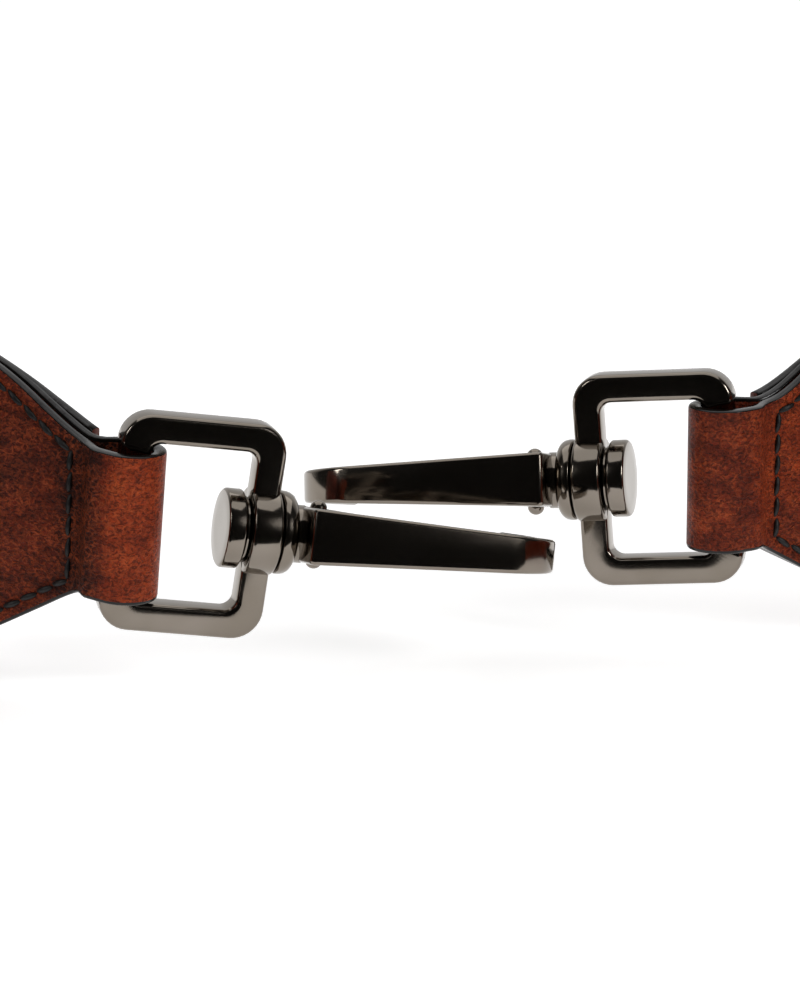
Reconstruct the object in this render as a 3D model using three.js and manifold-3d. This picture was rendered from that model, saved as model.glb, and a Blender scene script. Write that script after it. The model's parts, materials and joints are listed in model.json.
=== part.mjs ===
// A leather shoulder strap of a pair of gentlemen's suspenders, with a swivelling snap hook on each end.
// Millimetres, +Z up. The strap stands on its lower edge and is bent round into an open loop, so that
// its two ends face each other across the far side (+Y). The origin is the middle of its footprint.
import * as THREE from 'three';
import { mergeVertices } from 'three/addons/utils/BufferGeometryUtils.js';
import Module from 'manifold-3d';

const wasm = await Module();
wasm.setup();

// ---- Driving dimensions ------------------------------------------------------------------------

// The loop that the strap is bent into: a spiral, so that the right hook lies behind the left one.
// Both ends curl inwards.
const LEFT_RADIUS = 154.0;
const RIGHT_RADIUS = 176.4;
const LEFT_ANGLE = 18.8; // degrees from +Y round to each ring's hinge bar
const RIGHT_ANGLE = 15.7;
const CURL_DEPTH = 36; // how far inside the spiral each end lies
const CURL_LENGTH = 80; // the stretch that the curl dies out over
const LOOP_STEP = 17; // between the corners of the loop's plan

// The strap's outline.
const STRAP_WIDTH = 50;
const TAB_HEIGHT = 24; // the tabs' middle above the strap's lower edge
const TAB_HALF_WIDTH = 9.4;

// The layers, as distances from the middle surface towards the inside of the loop.
const LEATHER = 1.7;
const FRONT_FACE = 3.5;
const PINCHED_FACE = 2.05; // the front face where the cross seam draws the layers together
const CORE = [-0.8, 1.4];
const TAPE = [-1.5, -1.1];
const BACK_INNER = -1.8;
const BACK_INNER_AT_TAB = -2.0;
const FLAP = [-1.65, -0.25]; // the turned-back end of the front leather, pared thinner

// Distances along the strap from the hinge bar.
const PINCH_START = 6.0;
const BACK_END = 6.4;
const SEAM_AT = 7.0;
const FLAP_END = 19.0;
const PINCH_END = 24.0;
const CORE_START = 26.0;
const FLARE_END = 50.0;
const FOLD_RADIUS = 2.7; // inside of the leather fold round the bar
const FOLD_REACH = 0.6; // the fold is a slot, so its round end lies past the bar's axis
const FOLD_RUN = 1.8; // and it stays at full width this far back
const TILT_FADE = [2, 12]; // where a tab's tilt dies out along the strap
const TILT_REACH = 16;

// The seam.
const THREAD = 0.7;
const THREAD_GAP = 0.3;
const SEAM_INSET = 1.9;

// The ring.
const BAR_RADIUS = 1.9;
const RING_THICKNESS = 4.0;
const RING_HALF_HEIGHT = 13.85;
const WINDOW_HALF_HEIGHT = 10.2;
const RING_END = 19.1; // the ring's far side from the hinge axis
const WINDOW_END = 15.46;
const RING_CORNER = 3.9;
const WINDOW_CORNER = 1.5;
const BOSS_RADIUS = 5.5;
const BOSS = [15.5, 19.3];
const SHANK_BORE = 2.8;

// The swivel post and its washer.
const HEAD_RADIUS = 5.0;
const HEAD = [12.4, 14.7];
const SHANK_RADIUS = 2.5;
const TENON_RADIUS = 1.5;
const TENON_END = 20.8;
const WASHER_RADIUS = 4.2;
const WASHER = [14.9, 15.3];

// The hook.
const COLLAR_RADIUS = 5.25;
const COLLAR = [19.5, 21.6];
const COLLAR_ROUND = 1.4;
const NECK_RADIUS = 3.65;
const HOOK_START = 22.3;
const HOOK_DEPTH = 8.0; // from the swivel axis to the spine's outer face
const SPINE_THICKNESS = 3.0;
const NOSE_CENTRE = 47.8;
const NOSE_END_ANGLE = -66;
const HOOK_WIDTH_AT_START = 7.0;
const HOOK_WIDTH_AT_TIP = 4.2;
const BASE_END = 27.8;
const BASE_BOTTOM = -6.6;
const FORK_HALF_WIDTH = 2.25;
const FORK_START = 23.9;
const FORK_TOP = -1.5;

// The gate, its pin and its spring.
const PIN_AT = [25.9, -4.3];
const PIN_RADIUS = 0.75;
const PIN_HEAD_RADIUS = 1.1;
const PIN_HEAD = [3.65, 4.35]; // from the hook's middle plane
const PIN_CLEARANCE = 0.25;
const GATE_HALF_WIDTH = 1.9;
const GATE_ROOT_RADIUS = 1.7;
const GATE_BOTTOM = -6.0;
const SPRING_SLOT_HALF_WIDTH = 0.95;
const SPRING_SLOT_END = 29.0;
const SPRING_RADIUS = 1.27;
const SPRING_WIRE = 0.22; // the wire's radius
const SPRING_TURNS = 2;
const SPRING_PITCH = 0.5;
const SPRING_LEG = 1.3;

// How each clasp hangs from its tab, in degrees: tilt is how far the tab is pulled down, yaw is the
// ring's turn away from straight across, droop is how far its hook end hangs down, lean tips its
// face, and swivel turns the hook round its own axis.
const ENDS = {
  left: { sign: 1, tilt: 4.5, yaw: 14.4, droop: 8.5, lean: -2.0, swivel: 12.6 },
  right: { sign: -1, tilt: 0, yaw: 13.3, droop: 4.8, lean: 1.5, swivel: 12.6 },
};

const ROUND = 28; // sides of a round part
const degrees = THREE.MathUtils.degToRad;

// ---- Solids ------------------------------------------------------------------------------------

function toSolid(geometry) {
  const bare = geometry.clone();
  bare.deleteAttribute('normal');
  bare.deleteAttribute('uv');
  const merged = mergeVertices(bare, 1e-4);
  return new wasm.Manifold(new wasm.Mesh({
    numProp: 3,
    vertProperties: new Float32Array(merged.attributes.position.array),
    triVerts: new Uint32Array(merged.index.array),
  }));
}

function toGeometry(solid) {
  const mesh = solid.getMesh();
  const geometry = new THREE.BufferGeometry();
  geometry.setAttribute('position', new THREE.BufferAttribute(mesh.vertProperties, 3));
  geometry.setIndex(new THREE.BufferAttribute(mesh.triVerts, 1));
  geometry.computeVertexNormals();
  return geometry;
}

// A flat outline of [x, y] points, extruded along Z between two heights.
function prism(points, from, to) {
  const shape = points instanceof THREE.Shape
    ? points
    : new THREE.Shape(points.map(([x, y]) => new THREE.Vector2(x, y)));
  const geometry = new THREE.ExtrudeGeometry(shape, {
    depth: to - from, bevelEnabled: false, curveSegments: 10,
  });
  return geometry.translate(0, 0, from);
}

function box(x, y, z) {
  return new THREE.BoxGeometry(x[1] - x[0], y[1] - y[0], z[1] - z[0])
    .translate((x[0] + x[1]) / 2, (y[0] + y[1]) / 2, (z[0] + z[1]) / 2);
}

// A turned part round the X axis, from [distance along X, radius] points that start and end on it.
function turned(profile) {
  const points = profile.map(([along, radius]) => new THREE.Vector2(radius, along));
  return new THREE.LatheGeometry(points, ROUND).rotateZ(-Math.PI / 2);
}

function rod(radius, from, to) {
  return turned([[from, 0], [from, radius], [to, radius], [to, 0]]);
}

// ---- The strap's path --------------------------------------------------------------------------

// The strap's middle line in plan, from the left hinge bar to the right one.
class StrapPath extends THREE.Curve {
  getPoint(t) {
    const angle = THREE.MathUtils.lerp(
      Math.PI / 2 + degrees(LEFT_ANGLE), Math.PI * 5 / 2 - degrees(RIGHT_ANGLE), t,
    );
    const spiral = THREE.MathUtils.lerp(LEFT_RADIUS, RIGHT_RADIUS, t);
    const nearest = Math.min(t, 1 - t) * spiral * 2 * Math.PI;
    const radius = spiral - CURL_DEPTH * Math.max(0, 1 - nearest / CURL_LENGTH) ** 2;
    return new THREE.Vector3(radius * Math.cos(angle), radius * Math.sin(angle), 0);
  }
}

const path = new StrapPath();
path.arcLengthDivisions = 2000;
const pathLength = path.getLength();

// The strap's own directions at a distance from one end: along it away from that end, and square to
// its face towards the inside of the loop.
function strapFrame(side, along) {
  const share = THREE.MathUtils.clamp(along / pathLength, 0, 1);
  const u = side === 'left' ? share : 1 - share;
  const forward = path.getTangentAt(u);
  return {
    point: path.getPointAt(u),
    away: forward.clone().multiplyScalar(side === 'left' ? 1 : -1),
    inward: new THREE.Vector3(-forward.y, forward.x, 0),
  };
}

// A clasp's level directions: from its hinge bar towards its hook, and out of the hook's spine side.
function claspDirections(side) {
  const { sign, yaw } = ENDS[side];
  return {
    across: new THREE.Vector3(sign * Math.cos(degrees(yaw)), Math.sin(degrees(yaw)), 0),
    facing: new THREE.Vector3(sign * Math.sin(degrees(yaw)), -Math.cos(degrees(yaw)), 0),
  };
}

// A point in plan, from its distance along the strap and its distance in from the middle line. Past
// the end the line goes straight on.
function strapPoint(side, along, inward) {
  const frame = strapFrame(side, along);
  return frame.point
    .addScaledVector(frame.away, Math.min(along, 0))
    .addScaledVector(frame.inward, inward);
}

// Points [along, inward] of one end, placed on the path.
function placeEnd(side, points) {
  return points.map(([along, inward]) => {
    const { x, y } = strapPoint(side, along, inward);
    return [x, y];
  });
}

// The long stretch between the two ends, at one distance in from the middle line.
function placeBody(inward, from) {
  const count = Math.round((pathLength - 2 * from) / LOOP_STEP);
  return placeEnd('left', stations(from, pathLength - from, count).map((along) => [along, inward]));
}

const ease = (from, to, x, low, high) => low + (high - low) * THREE.MathUtils.smoothstep(x, from, to);

// The front leather's outer face: full over the bar, drawn in at the cross seam, full on the body.
function frontFace(along) {
  const full = FOLD_RADIUS + LEATHER;
  return along < PINCH_START
    ? ease(FOLD_RUN, PINCH_START, along, full, PINCHED_FACE)
    : ease(PINCH_START + 3, PINCH_END, along, PINCHED_FACE, FRONT_FACE);
}

function stations(from, to, count) {
  return Array.from({ length: count + 1 }, (_, i) => THREE.MathUtils.lerp(from, to, i / count));
}

// Half a turn round the bar, from the front side to the back.
function foldArc(radius) {
  return stations(90, 270, 8).map((turn) => [
    radius * Math.cos(degrees(turn)) - FOLD_REACH, radius * Math.sin(degrees(turn)),
  ]);
}

// Where the layers have corners near each end. All layers share them, so that they stay parallel.
function endStations() {
  const tilted = stations(0, TILT_FADE[1], 12);
  return [...tilted, ...stations(TILT_FADE[1], PINCH_END + 2, 5).slice(1)];
}

// A layer that keeps to the strap's middle surface: two faces, given as functions of the distance
// along the strap, and the distance where the layer starts.
function layerOutline(inner, outer, start) {
  const ends = [start, ...endStations().filter((along) => along > start)];
  const face = (side, at) => placeEnd(side, ends.map((along) => [along, at(along)]));
  const body = (at) => placeBody(at(FLARE_END), PINCH_END + 2).slice(1, -1);
  return [
    ...face('left', outer), ...body(outer), ...face('right', outer).reverse(),
    ...face('right', inner), ...body(inner).reverse(), ...face('left', inner).reverse(),
  ];
}

// The front leather's plan: it runs round both hinge bars and turns back as a short flap.
function frontOutline() {
  const run = endStations();
  const flapSide = (full, pared) => [...stations(0, TILT_FADE[1], 12), FLAP_END]
    .map((along) => [along, -ease(FOLD_RUN, PINCH_START, along, full, pared)]);
  const end = [
    ...flapSide(FOLD_RADIUS + LEATHER, -FLAP[0]).slice(1).reverse(),
    ...foldArc(FOLD_RADIUS + LEATHER).reverse(),
    ...run.slice(1).map((along) => [along, frontFace(along)]),
  ];
  const inside = [
    ...flapSide(FOLD_RADIUS, -FLAP[1]).slice(1).reverse(),
    ...foldArc(FOLD_RADIUS).reverse(),
    ...run.slice(1).map((along) => [along, frontFace(along) - LEATHER]),
  ];
  return [
    ...placeEnd('left', end),
    ...placeBody(FRONT_FACE, PINCH_END + 2).slice(1, -1),
    ...placeEnd('right', end).reverse(),
    ...placeEnd('right', inside),
    ...placeBody(FRONT_FACE - LEATHER, PINCH_END + 2).slice(1, -1).reverse(),
    ...placeEnd('left', inside).reverse(),
  ];
}

// ---- The strap's outline seen from its face ----------------------------------------------------

// The taper from the body to each tab, above and below the tab's middle. The upper edge comes in more
// steeply than the lower one, and the two ends are cut a little differently.
const ABOVE = STRAP_WIDTH - TAB_HEIGHT;
const BELOW = TAB_HEIGHT;
const TAPERS = {
  left: [
    { away: 1, full: ABOVE, from: 4.3, pull: 9.6, push: 16.9, to: 49 },
    { away: -1, full: BELOW, from: 3.2, pull: 9.4, push: 27, to: 48.8 },
  ],
  right: [
    { away: 1, full: ABOVE, from: 4.8, pull: 13.4, push: 16.8, to: 48.8 },
    { away: -1, full: BELOW, from: 3.3, pull: 6.3, push: 23.8, to: 49.4 },
  ],
};

// The edge of a taper, moved in by an inset square to itself.
function taperEdge({ full, from, pull, push, to }, inset) {
  const curve = new THREE.CubicBezierCurve(
    new THREE.Vector2(from, TAB_HALF_WIDTH), new THREE.Vector2(pull, TAB_HALF_WIDTH),
    new THREE.Vector2(push, full), new THREE.Vector2(to, full),
  );
  return stations(0, 1, 10).map((t) => {
    const point = curve.getPoint(t);
    const tangent = curve.getTangent(t);
    return [point.x + inset * tangent.y, point.y - inset * tangent.x];
  });
}

// The two blocks that are cut away beside one tab, and a third that ends the piece short of the bar.
// They are bent along the strap with it.
function endCutters(side, inset, stop) {
  const before = -14;
  const reach = 25;
  const beyond = STRAP_WIDTH;
  const slope = Math.tan(degrees(ENDS[side].tilt));
  const blocks = TAPERS[side].map((taper) => {
    const drop = -taper.away * slope * (taper.from - before);
    const edge = [
      [before, TAB_HALF_WIDTH - inset + drop], ...taperEdge(taper, inset),
      [FLARE_END, taper.full - inset],
    ];
    const outside = edge.map(([along]) => [along, beyond]).reverse();
    return [...edge, ...outside].map(([along, away]) => [along, away * taper.away]);
  });
  if (stop !== undefined) {
    blocks.push([[before, -beyond], [stop, -beyond], [stop, beyond], [before, beyond]]);
  }
  return blocks.map((outline) => {
    const block = prism(outline, -reach, reach);
    const corners = block.attributes.position;
    for (let i = 0; i < corners.count; i += 1) {
      const inward = corners.getZ(i) * (side === 'left' ? -1 : 1);
      const point = strapPoint(side, corners.getX(i), inward);
      corners.setXYZ(i, point.x, point.y, corners.getY(i) + TAB_HEIGHT);
    }
    return toSolid(block);
  });
}

// Slants the upright lines of a layer near each tab, so that the fold follows its hanging clasp.
function tiltTabs(geometry) {
  const corners = geometry.attributes.position;
  for (const side of Object.keys(ENDS)) {
    const { point: hinge, away } = strapFrame(side, 0);
    const { across } = claspDirections(side);
    for (let i = 0; i < corners.count; i += 1) {
      const corner = new THREE.Vector3().fromBufferAttribute(corners, i);
      const rise = corner.z - TAB_HEIGHT;
      const offset = corner.clone().setZ(0).sub(hinge);
      if (offset.length() < TILT_REACH) {
        const share = 1 - THREE.MathUtils.smoothstep(offset.dot(away), ...TILT_FADE);
        corner.addScaledVector(across, share * Math.tan(degrees(ENDS[side].tilt)) * rise);
        corners.setXY(i, corner.x, corner.y);
      }
    }
  }
  return geometry;
}

// A layer cut to the strap's outline, with all its edges moved in by an inset.
function cutLayer(outline, inset = 0, stop = undefined) {
  let solid = toSolid(tiltTabs(prism(outline, inset, STRAP_WIDTH - inset)));
  for (const side of Object.keys(ENDS)) {
    for (const cutter of endCutters(side, inset, stop)) solid = solid.subtract(cutter);
  }
  return solid;
}

// A seam all round a face: what lies between two outlines that differ by the thread's width.
function seam(face, outward) {
  const middle = (along) => face(along) + outward * (THREAD_GAP + THREAD / 2);
  const band = (half) => layerOutline(
    (along) => middle(along) - half, (along) => middle(along) + half, PINCH_START,
  );
  const outer = cutLayer(band(THREAD / 2), SEAM_INSET, SEAM_AT - THREAD / 2);
  const inner = cutLayer(band(THREAD), SEAM_INSET + THREAD, SEAM_AT + THREAD / 2);
  return outer.subtract(inner);
}

function backInner(along) {
  return ease(FLAP_END, PINCH_END, along, BACK_INNER_AT_TAB, BACK_INNER);
}

const CORE_INSET = 4.5; // the filling stops short of the seam

function strapPieces() {
  const flat = (level) => () => level;
  return {
    front_leather: cutLayer(frontOutline()),
    back_leather: cutLayer(layerOutline((a) => backInner(a) - LEATHER, backInner, BACK_END)),
    core_padding: cutLayer(layerOutline(flat(CORE[0]), flat(CORE[1]), CORE_START), CORE_INSET),
    stay_tape: cutLayer(layerOutline(flat(TAPE[0]), flat(TAPE[1]), CORE_START), CORE_INSET + 8),
    front_stitching: seam(frontFace, 1),
    back_stitching: seam((along) => backInner(along) - LEATHER, -1),
  };
}

// ---- The clasp, along +X from the hinge axis, with +Y towards the hook's spine ------------------

function roundedRectangle(x, halfHeight, corner) {
  const shape = new THREE.Shape();
  const [left, right] = x;
  shape.moveTo(left + corner, -halfHeight);
  shape.lineTo(right - corner, -halfHeight);
  shape.absarc(right - corner, -halfHeight + corner, corner, -Math.PI / 2, 0);
  shape.lineTo(right, halfHeight - corner);
  shape.absarc(right - corner, halfHeight - corner, corner, 0, Math.PI / 2);
  shape.lineTo(left + corner, halfHeight);
  shape.absarc(left + corner, halfHeight - corner, corner, Math.PI / 2, Math.PI);
  shape.lineTo(left, -halfHeight + corner);
  shape.absarc(left + corner, -halfHeight + corner, corner, Math.PI, Math.PI * 3 / 2);
  return shape;
}

function ringSolid() {
  const half = RING_THICKNESS / 2;
  const frame = roundedRectangle([-BAR_RADIUS, RING_END], RING_HALF_HEIGHT, RING_CORNER);
  frame.holes.push(
    roundedRectangle([BAR_RADIUS, WINDOW_END], WINDOW_HALF_HEIGHT, WINDOW_CORNER),
  );
  const barSpace = box(
    [-BAR_RADIUS - 1, BAR_RADIUS + WINDOW_CORNER], [-half - 1, half + 1],
    [-WINDOW_HALF_HEIGHT, WINDOW_HALF_HEIGHT],
  );
  const bar = new THREE.CylinderGeometry(BAR_RADIUS, BAR_RADIUS, 2 * WINDOW_HALF_HEIGHT + 1, ROUND)
    .rotateX(Math.PI / 2);
  return toSolid(prism(frame, -half, half).rotateX(Math.PI / 2))
    .subtract(toSolid(barSpace))
    .add(toSolid(bar))
    .add(toSolid(rod(BOSS_RADIUS, ...BOSS)))
    .subtract(toSolid(rod(SHANK_BORE, BOSS[0] - 1, BOSS[1] + 1)));
}

// Domed flat head inside the ring, shank through the boss, tenon riveted into the collar.
function postGeometry() {
  const bevel = 0.5;
  return turned([
    [HEAD[0], 0], [HEAD[0], HEAD_RADIUS - bevel], [HEAD[0] + bevel, HEAD_RADIUS],
    [HEAD[1], HEAD_RADIUS], [HEAD[1], SHANK_RADIUS], [BOSS[1], SHANK_RADIUS],
    [BOSS[1], TENON_RADIUS], [TENON_END, TENON_RADIUS], [TENON_END, 0],
  ]);
}

function washerSolid() {
  return toSolid(rod(WASHER_RADIUS, ...WASHER))
    .subtract(toSolid(rod(SHANK_BORE, WASHER[0] - 1, WASHER[1] + 1)));
}

// The hook's side view: base block, straight spine, round nose that comes back to the gate.
function hookShape() {
  const inner = HOOK_DEPTH - SPINE_THICKNESS;
  const end = degrees(NOSE_END_ANGLE);
  const shape = new THREE.Shape();
  shape.moveTo(HOOK_START + 1, BASE_BOTTOM);
  shape.lineTo(BASE_END - 1.5, BASE_BOTTOM);
  shape.absarc(BASE_END - 1.5, BASE_BOTTOM + 1.5, 1.5, -Math.PI / 2, 0);
  shape.lineTo(BASE_END, inner - 2);
  shape.absarc(BASE_END + 2, inner - 2, 2, Math.PI, Math.PI / 2, true);
  shape.lineTo(NOSE_CENTRE, inner);
  shape.absarc(NOSE_CENTRE, 0, inner, Math.PI / 2, end, true);
  shape.absarc(NOSE_CENTRE, 0, HOOK_DEPTH, end, Math.PI / 2);
  shape.lineTo(HOOK_START + 0.8, HOOK_DEPTH);
  shape.absarc(HOOK_START + 0.8, HOOK_DEPTH - 0.8, 0.8, Math.PI / 2, Math.PI);
  shape.lineTo(HOOK_START, BASE_BOTTOM + 1);
  shape.absarc(HOOK_START + 1, BASE_BOTTOM + 1, 1, Math.PI, Math.PI * 3 / 2);
  return shape;
}

function pinHole(radius) {
  const [x, y] = PIN_AT;
  return toSolid(new THREE.CylinderGeometry(radius, radius, 20, ROUND / 2)
    .rotateX(Math.PI / 2).translate(x, y, 0));
}

function hookSolid() {
  const tip = NOSE_CENTRE + HOOK_DEPTH;
  const taper = prism([
    [HOOK_START - 1, -HOOK_WIDTH_AT_START / 2], [tip + 1, -HOOK_WIDTH_AT_TIP / 2],
    [tip + 1, HOOK_WIDTH_AT_TIP / 2], [HOOK_START - 1, HOOK_WIDTH_AT_START / 2],
  ], -2 * HOOK_DEPTH, 2 * HOOK_DEPTH).rotateX(-Math.PI / 2);
  const collar = [[COLLAR[0], 0], [COLLAR[0], COLLAR_RADIUS]];
  for (const turn of stations(0, 90, 5)) {
    collar.push([
      COLLAR[1] - COLLAR_ROUND * (1 - Math.sin(degrees(turn))),
      COLLAR_RADIUS - COLLAR_ROUND * (1 - Math.cos(degrees(turn))),
    ]);
  }
  collar.push([COLLAR[1], NECK_RADIUS], [HOOK_START + 0.5, NECK_RADIUS], [HOOK_START + 0.5, 0]);
  const fork = box(
    [FORK_START, BASE_END + 1], [BASE_BOTTOM - 1, FORK_TOP], [-FORK_HALF_WIDTH, FORK_HALF_WIDTH],
  );
  return toSolid(prism(hookShape(), -HOOK_WIDTH_AT_START, HOOK_WIDTH_AT_START))
    .intersect(toSolid(taper))
    .add(toSolid(turned(collar)))
    .subtract(toSolid(rod(TENON_RADIUS + 0.3, COLLAR[0] - 1, TENON_END + 0.3)))
    .subtract(toSolid(fork))
    .subtract(pinHole(PIN_RADIUS + PIN_CLEARANCE));
}

// The gate's side view: a round root on the pin, a straight bar, a thumb tab below and a tongue that
// closes inside the nose.
function gateSolid() {
  const [x, y] = PIN_AT;
  const root = stations(90, 270, 8).map((turn) => [
    x + GATE_ROOT_RADIUS * Math.cos(degrees(turn)), y + GATE_ROOT_RADIUS * Math.sin(degrees(turn)),
  ]);
  const bar = [
    [42.0, GATE_BOTTOM], [43.2, -7.7], [44.6, -8.3], [47.4, -8.6], [48.5, -8.2],
    [48.7, -4.6], [49.3, -3.8], [50.6, -3.8], [50.6, -3.0], [49.8, y + GATE_ROOT_RADIUS],
  ];
  const springSlot = box(
    [x - 3, SPRING_SLOT_END], [-9, 0], [-SPRING_SLOT_HALF_WIDTH, SPRING_SLOT_HALF_WIDTH],
  );
  return toSolid(prism([...root, ...bar], -GATE_HALF_WIDTH, GATE_HALF_WIDTH))
    .subtract(toSolid(springSlot))
    .subtract(pinHole(PIN_RADIUS + PIN_CLEARANCE));
}

function pinGeometry() {
  const [x, y] = PIN_AT;
  const [neck, crown] = PIN_HEAD;
  const dome = stations(0, 90, 4).map((turn) => [
    neck + (crown - neck) * Math.sin(degrees(turn)), PIN_HEAD_RADIUS * Math.cos(degrees(turn)),
  ]);
  dome[dome.length - 1][1] = 0;
  const half = [[neck, PIN_RADIUS], ...dome];
  const mirrored = half.map(([along, radius]) => [-along, radius]).reverse();
  return turned([...mirrored, ...half]).rotateY(Math.PI / 2).translate(x, y, 0);
}

// A torsion spring round the pin: close coils with a short straight leg at each end.
class TorsionSpring extends THREE.Curve {
  getPoint(t) {
    const coil = 2 * Math.PI * SPRING_RADIUS * SPRING_TURNS;
    const length = coil + 2 * SPRING_LEG;
    const along = THREE.MathUtils.clamp(t * length - SPRING_LEG, 0, coil);
    const leg = t * length - SPRING_LEG - along;
    const turn = Math.PI / 2 + along / SPRING_RADIUS;
    return new THREE.Vector3(
      PIN_AT[0] + SPRING_RADIUS * Math.cos(turn) - leg * Math.sin(turn),
      PIN_AT[1] + SPRING_RADIUS * Math.sin(turn) + leg * Math.cos(turn),
      SPRING_PITCH * SPRING_TURNS * (along / coil - 0.5),
    );
  }
}

function springGeometry() {
  const wire = new THREE.Shape(stations(0, 288, 4).map((turn) => new THREE.Vector2(
    SPRING_WIRE * Math.cos(degrees(turn)), SPRING_WIRE * Math.sin(degrees(turn)),
  )));
  return new THREE.ExtrudeGeometry(wire, {
    steps: 12 * SPRING_TURNS + 6, extrudePath: new TorsionSpring(), bevelEnabled: false,
  });
}

// ---- Assembly ----------------------------------------------------------------------------------

const leather = new THREE.MeshStandardMaterial({ color: '#6b2f1d', roughness: 0.5, metalness: 0 });
const lining = new THREE.MeshStandardMaterial({ color: '#4a2418', roughness: 0.6, metalness: 0 });
const padding = new THREE.MeshStandardMaterial({ color: '#c9bfa6', roughness: 0.95, metalness: 0 });
const webbing = new THREE.MeshStandardMaterial({ color: '#e2ddd0', roughness: 0.9, metalness: 0 });
const thread = new THREE.MeshStandardMaterial({ color: '#141210', roughness: 0.7, metalness: 0 });
const gunmetal = new THREE.MeshStandardMaterial({ color: '#4b4743', roughness: 0.18, metalness: 1 });
const springSteel = new THREE.MeshStandardMaterial({ color: '#8d8d8d', roughness: 0.3, metalness: 1 });

function node(name, source, material) {
  const geometry = source instanceof THREE.BufferGeometry ? source : toGeometry(source);
  const mesh = new THREE.Mesh(geometry, material);
  mesh.name = name;
  return mesh;
}

// One clasp, as nested groups: the ring on its hinge bar, the hook on its swivel, the gate on its pin.
function clasp(side) {
  const { sign, droop, lean, swivel } = ENDS[side];
  const up = new THREE.Vector3(0, 0, 1);
  const { across, facing } = claspDirections(side);
  const axis = across.clone().multiplyScalar(Math.cos(degrees(droop)))
    .addScaledVector(up, -Math.sin(degrees(droop)));
  const bar = across.clone().multiplyScalar(Math.sin(degrees(droop)))
    .addScaledVector(up, Math.cos(degrees(droop)));
  const face = facing.clone().multiplyScalar(Math.cos(degrees(lean)))
    .addScaledVector(bar, Math.sin(degrees(lean)));

  const ring = new THREE.Group();
  ring.setRotationFromMatrix(
    new THREE.Matrix4().makeBasis(axis, face, new THREE.Vector3().crossVectors(axis, face)),
  );
  ring.position.copy(strapFrame(side, 0).point).setZ(TAB_HEIGHT);
  ring.add(node(`${side}_swivel_ring`, ringSolid(), gunmetal));

  const hook = new THREE.Group();
  hook.rotation.x = degrees(-sign * swivel);
  hook.add(
    node(`${side}_swivel_post`, postGeometry(), gunmetal),
    node(`${side}_swivel_washer`, washerSolid(), gunmetal),
    node(`${side}_hook_body`, hookSolid(), gunmetal),
    node(`${side}_gate_pin`, pinGeometry(), gunmetal),
    node(`${side}_gate_spring`, springGeometry(), springSteel),
    node(`${side}_gate`, gateSolid(), gunmetal),
  );
  ring.add(hook);
  return ring;
}

const materials = {
  front_leather: leather,
  back_leather: lining,
  core_padding: padding,
  stay_tape: webbing,
  front_stitching: thread,
  back_stitching: thread,
};

const strap = new THREE.Group();
for (const [name, solid] of Object.entries(strapPieces())) {
  strap.add(node(name, solid, materials[name]));
}
for (const side of Object.keys(ENDS)) strap.add(clasp(side));

// The origin is under the middle of the whole object, on the surface that it stands on.
const extent = new THREE.Box3().setFromObject(strap, true);
const middle = extent.getCenter(new THREE.Vector3());
strap.position.set(-middle.x, -middle.y, 0);

const group = new THREE.Group();
group.add(strap);

export default group;
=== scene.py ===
"""A padded leather shoulder strap of a pair of dress suspenders, with a swivelling snap hook on each
end. It stands on its lower edge as an open loop. Pieces are in metres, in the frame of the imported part.
The strap's and the clasps' own dimensions are in millimetres and degrees: on_strap() and clasp_frame()
turn them into metres."""

import json

import bmesh
import bpy
import numpy as np
from mathutils import Matrix, Vector


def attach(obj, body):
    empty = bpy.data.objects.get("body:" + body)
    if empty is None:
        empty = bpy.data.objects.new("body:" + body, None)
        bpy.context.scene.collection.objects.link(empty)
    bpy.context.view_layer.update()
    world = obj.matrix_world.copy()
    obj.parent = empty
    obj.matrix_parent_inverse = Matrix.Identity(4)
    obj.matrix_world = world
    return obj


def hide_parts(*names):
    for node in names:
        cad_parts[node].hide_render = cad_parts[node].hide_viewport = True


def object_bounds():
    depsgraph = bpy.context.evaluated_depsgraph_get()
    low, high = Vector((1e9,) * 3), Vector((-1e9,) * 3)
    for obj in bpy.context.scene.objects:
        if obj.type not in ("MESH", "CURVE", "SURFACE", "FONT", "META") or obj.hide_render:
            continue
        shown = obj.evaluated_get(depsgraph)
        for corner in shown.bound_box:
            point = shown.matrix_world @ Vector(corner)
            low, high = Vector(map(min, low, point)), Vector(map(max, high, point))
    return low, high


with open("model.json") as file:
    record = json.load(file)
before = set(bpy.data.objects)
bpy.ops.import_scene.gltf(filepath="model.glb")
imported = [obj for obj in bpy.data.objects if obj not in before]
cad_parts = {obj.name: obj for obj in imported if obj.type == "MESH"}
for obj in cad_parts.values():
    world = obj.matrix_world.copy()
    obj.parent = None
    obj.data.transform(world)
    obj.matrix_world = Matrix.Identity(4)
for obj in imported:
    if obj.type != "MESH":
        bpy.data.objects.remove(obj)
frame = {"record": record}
cad_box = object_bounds()

# ---- Front leather ------------------------------------------------------------------------------
# One long piece of grained cowhide, waxed by hand. It runs round the hinge bar of each ring and is
# turned back as a pared flap, and its cut edges are painted black and rubbed smooth.

MM = 0.001
# the loop in plan: its radius at each end, how far round the bars stand, and how the ends curl in
LEFT_RADIUS = 154.0
RIGHT_RADIUS = 176.4
LEFT_ANGLE = 18.8
RIGHT_ANGLE = 15.7
CURL_DEPTH = 36.0
CURL_LENGTH = 80.0
# the strap's width, and its tabs' middle height and half width
STRAP_WIDTH = 50.0
TAB_HEIGHT = 24.0
TAB_HALF_WIDTH = 9.4
# how far the left tab tilts, and where along the strap that tilt fades out
LEFT_TILT = 4.5
TILT_FADE = (2.0, 12.0)
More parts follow.
